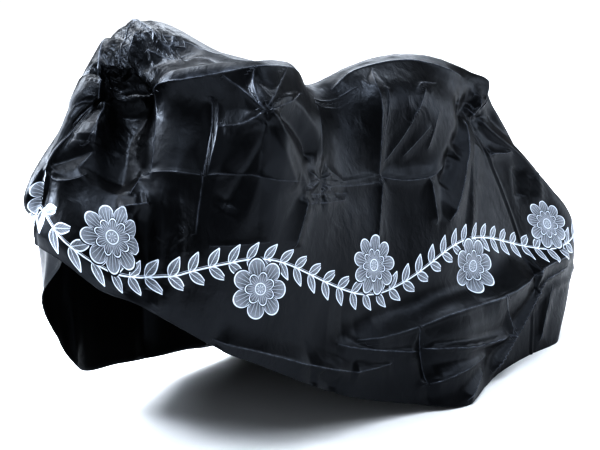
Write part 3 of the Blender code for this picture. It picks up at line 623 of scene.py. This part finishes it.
 ("far_pack_col_b",  18.2, 0.60,  18.2, 3.60, 0.022, -0.0060, 0.9, 0.9, 1.0, 0.0,  0.0),
 ("far_crease_a",    20.6, 0.90,  17.4, 2.60, 0.026,  0.0080, 1.0, 0.4, 0.9, 0.0,  0.0),
 ("far_crease_b",    17.0, 0.80,  16.2, 2.40, 0.030,  0.0090, 1.0, 0.5, 0.8, 0.0,  0.0),
 ("far_crease_c",    15.2, 0.80,  14.2, 2.60, 0.030,  0.0100, 1.0, 0.6, 0.8, 0.0,  0.0),
)
# Film with more length than its place leaves room for: it buckles when the sheet settles.
#  name          section level radius strength
SLACK_PATCHES = (
 ("wheel_side",   2.8, 3.0, 0.30, 1.0),
 ("rear_fan",    13.0, 1.8, 0.30, 0.5),
 ("far_side",    17.0, 3.2, 0.8, 0.7),
 ("far_front",   22.0, 3.0, 0.5, 0.7),
)
#  name          section level radius strength
CRUMPLE_PATCHES = (
 ("peak",        21.6, 0.75, 0.16, 1.0),
 ("cavity",      23.0, 0.60, 0.15, 1.0),
 ("front_top",    1.4, 0.80, 0.12, 0.6),
 ("slope_knot",   0.7, 1.15, 0.08, 0.35),
 ("slope",        0.2, 1.70, 0.16, 0.15),
 ("wheel_knot",   3.6, 2.70, 0.09, 0.8),
 ("chest_knot",   7.4, 1.95, 0.09, 0.8),
 ("star_knot",    6.0, 1.00, 0.05, 0.5),
 ("saddle_panel", 8.6, 1.30, 0.22, 0.12),
 ("tail_edge",    9.8, 1.40, 0.12, 0.25),
 ("ear",         12.0, 0.40, 0.07, 0.4),
)
SLACK_ALONG, SLACK_DOWN = 0.022, 0.008
BEND = 0.5
# grid divided by, steps, hold
SETTLE_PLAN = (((6, 160, 0.010), (3, 120, 0.008), (1, 30, 0.010)))


def patch_weight(points, patches):
    """Weight 0 to 1 of the listed patches: rows of (section, level, radius, strength)."""
    out = np.zeros(len(points))
    for name, section, level, radius, strength in patches:
        c = sheet_point(section, level)
        d = np.linalg.norm(points - c, axis=1) / radius
        out = np.maximum(out, strength * np.clip(1.25 - d, 0, 1) ** 1.0)
    return np.clip(out, 0, 1)


def flat_coordinates(g, mid):
    """Metres along the belt, counted round the bag, and metres above the belt line."""
    cols, rows = g.shape[:2]
    u = np.zeros((cols, rows))
    v = np.zeros((cols, rows))
    belt = np.abs(LEVELS_OF_ROWS - 3.0).argmin()
    for side, r in ((0, mid + belt), (1, mid - belt)):
        step = np.concatenate([[0], np.cumsum(np.linalg.norm(g[1:, r] - g[:-1, r], axis=-1))])
        run = np.linalg.norm(g[:, 1:] - g[:, :-1], axis=-1)
        down = np.concatenate([np.zeros((cols, 1)), np.cumsum(run, 1)], 1)
        if side == 0:
            u[:, mid:] = step[:, None]
            v[:, mid:] = down[:, r:r + 1] - down[:, mid:]
            length = step[-1]
        else:
            u[:, :mid] = (length + step[-1] - step)[:, None]
            v[:, :mid] = down[:, :mid] - down[:, r:r + 1]
    return u, v


def build_sheet():
    global LEVELS_OF_ROWS
    LEVELS_OF_ROWS = level_rows(ROWS)
    stations = spread(COLUMNS, (0.0, 1.0), 0.010, 2.5)
    base = loft(stations, LEVELS_OF_ROWS)
    cols, rows = base.shape[:2]
    mid = rows // 2
    weld(base)
    flat = base.reshape(-1, 3)
    n = normals_of(base)
    push = fold_push(flat, FOLDS + DETAIL_FOLDS).reshape(cols, rows)
    target = base + n * push[..., None]
    line, weight = crease_lines(base, FOLDS + DETAIL_FOLDS)
    u, v = flat_coordinates(base, mid)
    side = np.where(np.arange(rows) >= mid, 0, 1)[None, :] * np.ones((cols, 1))
    # settle: coarse first, then finer, the found folds carried up each time
    slack = patch_weight(flat, SLACK_PATCHES).reshape(cols, rows)
    shape = (cols, rows)
    start = None
    for divide, steps, hold in SETTLE_PLAN:
        cc = np.linspace(0, cols - 1, (cols - 1) // divide + 1).round().astype(int)
        half = np.linspace(0, mid, mid // divide + 1).round().astype(int)
        rr = np.concatenate([half, (rows - 1 - half)[::-1][1:]])
        t = target[np.ix_(cc, rr)]
        s = slack[np.ix_(cc, rr)]
        if start is None:
            x, y = u[np.ix_(cc, rr)], v[np.ix_(cc, rr)]
            wob = smooth_noise(x / 0.16, y / 0.22, 5) + 0.6 * smooth_noise(x / 0.09 + 9, y / 0.12, 8)
            begin = t + normals_of(t) * (wob * 0.008)[..., None]
        else:
            lift = upsample(start, t.shape[:2])
            begin = t + lift
        weld(begin)
        grip = hold * (1 + 6 * (1 - s))
        p = settle(t, SLACK_ALONG * s, SLACK_DOWN * s, grip, steps, begin, bend=BEND if divide > 1 else 0.0)
        start = p - t
    g = target + (start if start.shape[:2] == shape else upsample(start, shape))
    weld(g)
    # fine crumpling, by the listed patches
    n = normals_of(g)
    pts = g.reshape(-1, 3)
    rough = patch_weight(pts, CRUMPLE_PATCHES).reshape(cols, rows)
    away = side * 37.0
    h = crumple(u + away, v * 0.55, 0.070, 3) * 0.007 * rough
    h += crumple(u + away, v * 0.7, 0.034, 11) * 0.0052 * rough
    h += (crumple(u + away, v, 0.24, 21) * 0.0036 + crumple(u * 1.3 + away, v * 0.7, 0.10, 23) * 0.0022) * (1 - 0.5 * rough)
    seam_fade = np.minimum(np.linalg.norm(g - g[:1], axis=-1), np.linalg.norm(g - g[-1:], axis=-1))
    h *= np.clip(seam_fade / 0.03, 0.15, 1)
    seam_gap = np.minimum(u_gap(g, 0), u_gap(g, -1))
    lip = SEAM_LIP * np.clip(1.3 - seam_gap / 0.006, 0, 1) - 0.0012 * np.exp(-((seam_gap - 0.013) / 0.005) ** 2)
    edge = np.clip((LEVELS_OF_ROWS - 0.15) / 0.4, 0, 1)
    lip *= np.concatenate([edge[::-1], edge[1:]])[None, :]
    g = g + n * (h + lip)[..., None]
    weld(g)
    floor_z = 0.0005
    g[..., 2] = np.maximum(g[..., 2], floor_z)
    return g, u, v, mid, line, weight, rough


def u_gap(g, end):
    """Distance along the sheet from an end seam, row by row."""
    if end == 0:
        run = np.cumsum(np.linalg.norm(g[1:] - g[:-1], axis=-1), 0)
        return np.concatenate([np.zeros((1, g.shape[1])), run], 0)
    run = np.cumsum(np.linalg.norm(g[::-1][1:] - g[::-1][:-1], axis=-1), 0)
    return np.concatenate([np.zeros((1, g.shape[1])), run], 0)[::-1]


def ease_crossings(verts, quads):
    """Where the sheet would pass through itself, its points are drawn towards their neighbours."""
    edges = np.sort(np.concatenate([quads[:, [k, (k + 1) % 4]] for k in range(4)]), 1)
    edges = np.unique(edges, axis=0)
    count = np.bincount(edges.ravel(), minlength=len(verts))[:, None]
    for _ in range(4):
        tree = BVHTree.FromPolygons(verts.tolist(), quads.tolist())
        pairs = np.array(tree.overlap(tree))
        a, b = quads[pairs[:, 0]], quads[pairs[:, 1]]
        apart = ~(a[:, :, None] == b[:, None, :]).any((1, 2))
        if not apart.any():
            break
        move = np.zeros(len(verts), bool)
        move[np.concatenate([a[apart], b[apart]]).ravel()] = True
        for _ in range(2):
            move[edges[move[edges].any(1)].ravel()] = True
        for _ in range(8):
            total = np.zeros_like(verts)
            for axis in range(3):
                total[:, axis] = np.bincount(edges[:, 0], verts[edges[:, 1], axis], len(verts))
                total[:, axis] += np.bincount(edges[:, 1], verts[edges[:, 0], axis], len(verts))
            verts[move] += (total / count - verts)[move] * 0.5
    return verts


def sheet_object(material):
    g, u, v, mid, line, weight, rough = build_sheet()
    cols, rows = g.shape[:2]
    n = normals_of(g)
    # turned hem: the edge goes inwards and back up inside
    def turned(edge, inner, sign):
        run = unit(inner - edge)
        normal = n[:, 0 if sign < 0 else -1]
        out = []
        for drop, inside in ((-0.0004, 0.0006), (0.0010, 0.0016), (HEM_DEPTH * 0.5, 0.0020), (HEM_DEPTH, 0.0016)):
            out.append(edge + run * drop - normal * inside)
        return out
    near_turn = turned(g[:, -1], g[:, -4], 1)
    far_turn = turned(g[:, 0], g[:, 3], -1)
    full = np.concatenate([np.stack(far_turn[::-1], 1), g, np.stack(near_turn, 1)], 1)
    extra = len(near_turn)
    pad = lambda a: np.concatenate([np.repeat(a[:, :1], extra, 1), a, np.repeat(a[:, -1:], extra, 1)], 1)
    uu, vv = pad(u), pad(v)
    full[..., 2] = np.maximum(full[..., 2], 0.0005)
    rows2 = full.shape[1]
    index = np.arange(cols * rows2).reshape(cols, rows2)
    for c in (0, cols - 1):
        keep = index[c].copy()
        index[c, :rows2 // 2] = keep[::-1][:rows2 // 2]
    used = np.unique(index)
    remap = np.full(cols * rows2, -1)
    remap[used] = np.arange(len(used))
    verts = full.reshape(-1, 3)[used] - SADDLE_POINT
    idx = remap[index]
    a, b, c2, d = idx[:-1, :-1], idx[:-1, 1:], idx[1:, 1:], idx[1:, :-1]
    quads = np.stack([a, b, c2, d], -1).reshape(-1, 4)
    cu = np.stack([uu[:-1, :-1], uu[:-1, 1:], uu[1:, 1:], uu[1:, :-1]], -1).reshape(-1)
    cv = np.stack([vv[:-1, :-1], vv[:-1, 1:], vv[1:, 1:], vv[1:, :-1]], -1).reshape(-1)
    verts = ease_crossings(verts, quads)
    mesh = bpy.data.meshes.new("cover_film")
    mesh.vertices.add(len(verts))
    mesh.vertices.foreach_set("co", verts.astype(np.float32).ravel())
    mesh.loops.add(len(quads) * 4)
    mesh.loops.foreach_set("vertex_index", quads.astype(np.int32).ravel())
    mesh.polygons.add(len(quads))
    mesh.polygons.foreach_set("loop_start", np.arange(0, len(quads) * 4, 4, dtype=np.int32))
    mesh.update(calc_edges=True)
    layer = mesh.uv_layers.new(name="flat_metres")
    layer.data.foreach_set("uv", np.stack([cu, cv], -1).astype(np.float32).ravel())
    for name, field in (("crease_line", line), ("crease_weight", weight), ("crumpled", rough)):
        values = mesh.attributes.new(name, "FLOAT", "POINT")
        values.data.foreach_set("value", pad(field).reshape(-1)[used].astype(np.float32))
    mesh.validate()
    mesh.shade_smooth()
    film = bpy.data.objects.new("cover_film", mesh)
    bpy.context.scene.collection.objects.link(film)
    mesh.materials.append(material)
    return film


# ---------------------------------------------------------------------- material
class Field:
    """A shader value: sums, products and the like of it add the nodes that work them out."""
    nodes = links = None

    def __init__(self, socket):
        self.socket = socket

    @staticmethod
    def math(op, *values, clamp=False):
        node = Field.nodes.new("ShaderNodeMath")
        node.operation, node.use_clamp = op, clamp
        for k, x in enumerate(values):
            if isinstance(x, Field):
                Field.links.new(x.socket, node.inputs[k])
            else:
                node.inputs[k].default_value = x
        return Field(node.outputs[0])

    def __add__(self, x): return Field.math("ADD", self, x)
    __radd__ = __add__
    def __sub__(self, x): return Field.math("SUBTRACT", self, x)
    def __rsub__(self, x): return Field.math("SUBTRACT", x, self)
    def __mul__(self, x): return Field.math("MULTIPLY", self, x)
    __rmul__ = __mul__
    def __truediv__(self, x): return Field.math("DIVIDE", self, x)
    def __rtruediv__(self, x): return Field.math("DIVIDE", x, self)
    def __abs__(self): return Field.math("ABSOLUTE", self)
    def sin(self): return Field.math("SINE", self)
    def cos(self): return Field.math("COSINE", self)
    def floor(self): return Field.math("FLOOR", self)
    def fract(self): return Field.math("FRACT", self)
    def power(self, x): return Field.math("POWER", self, x)
    def top(self, x): return Field.math("MAXIMUM", self, x)
    def low(self, x): return Field.math("MINIMUM", self, x)
    def clamp(self): return Field.math("ADD", self, 0.0, clamp=True)


EDGE = 0.0012                    # how softly the ink ends, metres


def stroke(distance, width):
    """1 on a line of that width round distance 0."""
    return Field.math("ADD", (width / 2 - abs(distance)) * (1 / EDGE), 0.5, clamp=True)


def inside(distance):
    """1 where the distance is negative."""
    return Field.math("ADD", distance * (-1 / EDGE), 0.5, clamp=True)


CELL = 0.44                      # along the belt, one flower head to a cell
VINE_SWING = 0.060
FLOWER_DROP = 0.024              # heads sit alternately this far above and below the belt line
LEAF_PITCH, LEAF_LENGTH, LEAF_WIDTH = CELL / 8, 0.060, 0.0125
LEAF_ANGLE = math.radians(48)


def print_band(u, v):
    """Pale line drawing of flower heads, a winding stem and paired leaves, as one ink value from 0 to 1."""
    cell = (u / CELL).floor()
    odd = (cell * 0.5).fract() * 2.0
    x = u - (cell + 0.5) * CELL
    turn = 1.0 - odd * 2.0
    y = v - turn * FLOWER_DROP
    r = Field.math("SQRT", x * x + y * y)
    theta = Field.math("ARCTAN2", y, x)
    petals = 9.0 - odd * 2.0
    half = theta * petals * 0.5
    lobe = abs(half.cos())
    gap = abs(half.sin())
    outer = 0.053 + lobe.power(0.55) * 0.033
    inner = 0.026 + gap.power(0.6) * 0.021
    vein = abs((half * 5.0).sin()) * r / (petals * 2.5)
    inner_vein = abs((half * 4.0).sin()) * r / (petals * 2.0)
    in_outer = inside(r - outer + 0.006)
    out_inner = inside(inner + 0.004 - r)
    in_inner = inside(r - inner + 0.004)
    out_core = inside(0.020 - r)
    flower = stroke(r - outer, 0.0042)
    flower = flower.top(stroke(r - inner, 0.0036))
    flower = flower.top(stroke(r - 0.0165, 0.0030))
    flower = flower.top(stroke(vein, 0.0013) * in_outer * out_inner * 0.75)
    flower = flower.top(stroke(inner_vein, 0.0012) * in_inner * out_core * 0.75)
    seeds = abs((theta * 4.0).sin()) * r / 4.0
    flower = flower.top(stroke(seeds, 0.0016) * inside(r - 0.0125) * inside(0.005 - r))
    ring = (r - inner) / (outer - inner)
    shade = inside(r - outer) * out_inner * (0.10 + ring.clamp() * 0.26)
    shade = shade.top(in_inner * 0.42 * (1.0 - r * 14.0).clamp())
    flower = flower.top(shade)
    clear = inside(outer + 0.007 - r)
    # the stem winds past each head on the other side
    wave = u * (math.pi / CELL)
    stem_y = v - wave.sin() * -VINE_SWING
    slope = wave.cos() * (-VINE_SWING * math.pi / CELL)
    lean = 1.0 / Field.math("SQRT", slope * slope + 1.0)
    plant = stroke(stem_y * lean, 0.0044)
    plant = plant.top(stroke(stem_y * lean - 0.0052, 0.0014) * 0.6)
    # leaves in pairs along the stem
    step = (u / LEAF_PITCH).floor()
    root = step * LEAF_PITCH + 0.009
    root_wave = root * (math.pi / CELL)
    angle = Field.math("ARCTANGENT", root_wave.cos() * (-VINE_SWING * math.pi / CELL))
    dx = u - root
    dy = v - root_wave.sin() * -VINE_SWING
    ca, sa = angle.cos(), angle.sin()
    a = dx * ca + dy * sa
    b = abs(dy * ca - dx * sa)
    p = a * math.cos(LEAF_ANGLE) + b * math.sin(LEAF_ANGLE)
    q = b * math.cos(LEAF_ANGLE) - a * math.sin(LEAF_ANGLE)
    share = (p / LEAF_LENGTH).clamp()
    breadth = (share.power(0.8) * math.pi).sin() * LEAF_WIDTH
    body = inside(abs(q) - breadth) * inside(p - LEAF_LENGTH) * inside(0.002 - p)
    on_leaf = inside(abs(q) - breadth - 0.002) * inside(p - LEAF_LENGTH) * inside(0.002 - p)
    leaf = stroke(abs(q) - breadth, 0.0034) * on_leaf
    leaf = leaf.top(stroke(q, 0.0016) * body)
    ribs = ((p - abs(q) * 1.4) * 110.0).fract() - 0.5
    leaf = leaf.top(stroke(ribs * 0.009, 0.0012) * body * 0.55)
    leaf = leaf.top(body * (0.12 + share * 0.24))
    plant = plant.top(leaf) * clear
    return flower.top(plant)


CREASE_RISE, FINE_RISE = 0.0200, 0.0080


def film_material():
    material = bpy.data.materials.new("black_film")
    material.use_nodes = True
    tree = material.node_tree
    nodes, links = tree.nodes, tree.links
    Field.nodes, Field.links = nodes, links
    shader = nodes["Principled BSDF"]
    shader.inputs["Specular IOR Level"].default_value = 0.40
    shader.inputs["Specular Tint"].default_value = (0.84, 0.90, 1.0, 1)
    where = nodes.new("ShaderNodeTexCoord")
    flat = nodes.new("ShaderNodeUVMap")
    flat.uv_map = "flat_metres"
    split = nodes.new("ShaderNodeSeparateXYZ")
    links.new(flat.outputs["UV"], split.inputs["Vector"])
    u, v = Field(split.outputs["X"]), Field(split.outputs["Y"])

    def noise(scale, detail, rough, stretch=None, colour=False):
        node = nodes.new("ShaderNodeTexNoise")
        node.inputs["Scale"].default_value = scale
        node.inputs["Detail"].default_value = detail
        node.inputs["Roughness"].default_value = rough
        if stretch:
            mapping = nodes.new("ShaderNodeMapping")
            mapping.inputs["Scale"].default_value = stretch
            links.new(where.outputs["Object"], mapping.inputs["Vector"])
            links.new(mapping.outputs["Vector"], node.inputs["Vector"])
        else:
            links.new(where.outputs["Object"], node.inputs["Vector"])
        return Field(node.outputs["Color" if colour else "Fac"])

    def span(value, a, b, c, d):
        node = nodes.new("ShaderNodeMapRange")
        for key, x in (("From Min", a), ("From Max", b), ("To Min", c), ("To Max", d)):
            node.inputs[key].default_value = x
        links.new(value.socket, node.inputs["Value"])
        return Field(node.outputs["Result"])

    rough = span(noise(9, 4, 0.6), 0.3, 0.7, 0.34, 0.44) + span(noise(70, 3, 0.6), 0.3, 0.7, -0.03, 0.05)
    # fine crinkles, packing streaks and the film's grain
    wobble = nodes.new("ShaderNodeMix")
    wobble.data_type = "VECTOR"
    wobble.inputs[0].default_value = 0.08
    links.new(where.outputs["Object"], wobble.inputs[4])
    links.new(noise(14, 2, 0.5, colour=True).socket, wobble.inputs[5])
    crinkle = 0.0
    folded = 0.0
    for scale, share, bent, spin in ((15, 0.0060, 3.5, (0.5, 0.9, 0.3)), (34, 0.0026, 4.5, (1.1, 0.2, 0.8)), (70, 0.0012, 0.6, (0.2, 0.6, 1.3))):
        turn = nodes.new("ShaderNodeMapping")
        turn.inputs["Rotation"].default_value = spin
        turn.inputs["Scale"].default_value = (1.3, 1.0, 0.5)
        links.new(wobble.outputs[1], turn.inputs["Vector"])
        cells = nodes.new("ShaderNodeTexVoronoi")
        cells.feature, cells.distance = "F1", "MANHATTAN"
        cells.inputs["Scale"].default_value = scale
        links.new(turn.outputs["Vector"], cells.inputs["Vector"])
        crinkle = Field(cells.outputs["Distance"]) * share + crinkle
        folded = Field(cells.outputs["Distance"]) * (share * bent) + folded
    def attribute(name):
        node = nodes.new("ShaderNodeAttribute")
        node.attribute_name = name
        return Field(node.outputs["Fac"])

    # a crease is a thin ridge, or a thin groove where its weight is below zero
    away = abs(attribute("crease_line") + (noise(30, 2, 0.5) - 0.5) * 0.004)
    ridge = (1.0 - away / 0.0055).clamp()
    crease = ridge * ridge * attribute("crease_weight")
    patches = span(noise(3.2, 3, 0.6), 0.42, 0.62, 0.15, 1.0)
    height = crinkle * patches + noise(60, 2, 0.5, stretch=(1.0, 1.0, 0.18)) * 0.0006 + noise(420, 2, 0.5) * 0.00010 + crease * CREASE_RISE
    fine = 1.0 - abs(noise(34, 3, 0.55, stretch=(1.0, 1.0, 0.6)) - 0.5) * 9.0
    height = height + fine.clamp() * (attribute("crumpled") * 0.22 + patches * 0.18) * FINE_RISE + folded * attribute("crumpled")
    ink = print_band(u, v) * span(noise(120, 2, 0.6), 0.3, 0.7, 0.80, 1.0)
    # the print is on the outside of the film only
    side = nodes.new("ShaderNodeNewGeometry")
    ink = ink * (1.0 - Field(side.outputs["Backfacing"]))
    # painted highlight: the film's colour is made paler along its creases, standing in for the light the crease edges
    # catch
    crease_highlight = (ridge * ridge * ridge * abs(attribute("crease_weight")) * span(noise(45, 3, 0.7), 0.35, 0.65, 0.25, 1.0))
    tone = nodes.new("ShaderNodeMix")
    tone.data_type = "RGBA"
    tone.inputs[6].default_value = (0.0022, 0.0024, 0.0030, 1)
    # painted highlight colour of the crease lines
    tone.inputs[7].default_value = (0.20, 0.22, 0.26, 1)
    links.new(crease_highlight.clamp().socket, tone.inputs[0])
    print_tone = nodes.new("ShaderNodeMix")
    print_tone.data_type = "RGBA"
    links.new(tone.outputs[2], print_tone.inputs[6])
    print_tone.inputs[7].default_value = (0.80, 0.87, 0.98, 1)
    links.new(ink.socket, print_tone.inputs[0])
    links.new(print_tone.outputs[2], shader.inputs["Base Color"])
    rough = rough + ink * 0.10 - attribute("crumpled") * 0.09
    links.new(rough.socket, shader.inputs["Roughness"])
    bump = nodes.new("ShaderNodeBump")
    bump.inputs["Strength"].default_value = 0.6
    bump.inputs["Distance"].default_value = 0.30
    links.new(height.socket, bump.inputs["Height"])
    links.new(bump.outputs["Normal"], shader.inputs["Normal"])
    return material


make_camera()
make_stage()
film = sheet_object(film_material())
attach(film, "root")
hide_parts("cover_sheet")
